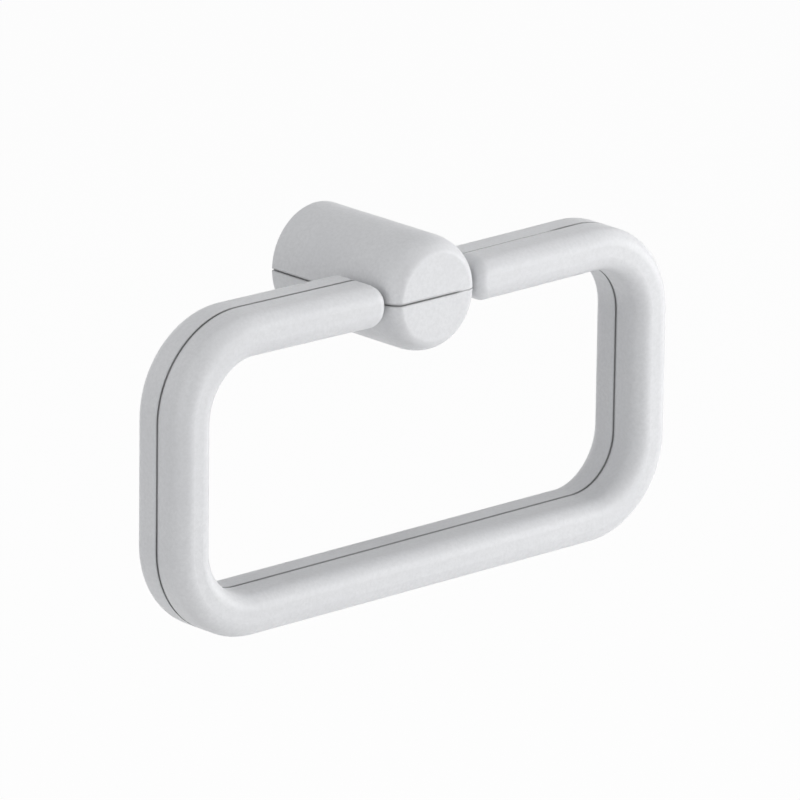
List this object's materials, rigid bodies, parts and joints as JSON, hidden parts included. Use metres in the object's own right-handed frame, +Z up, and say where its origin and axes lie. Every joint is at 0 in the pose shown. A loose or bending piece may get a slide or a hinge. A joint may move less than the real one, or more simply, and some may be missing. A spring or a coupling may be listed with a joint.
{
  "type": "towel ring",
  "caption": "Moulded towel ring: a deep, flat-sided bar bent to a rounded rectangle, both ends carried by one round wall post with concealed fixing.",
  "frame": {"origin": "centre of the wall post's rear face, on the wall", "axes": "+Y along the post's axis into the wall, +Z up, +X to the right seen from in front"},
  "size_m": [0.268, 0.0724, 0.1483],
  "materials": {
    "white_plastic": "satin",
    "cast_metal": "as cast",
    "plate_steel": "satin",
    "screw_steel": "satin"
  },
  "bodies": {
    "root": {"ring_front_shell": "white_plastic", "ring_rear_shell": "white_plastic", "post_upper_shell": "white_plastic", "post_lower_shell": "white_plastic", "ring_carrier": "cast_metal", "wall_plate": "plate_steel", "locking_screw": "screw_steel"}
  },
  "joints": []
}
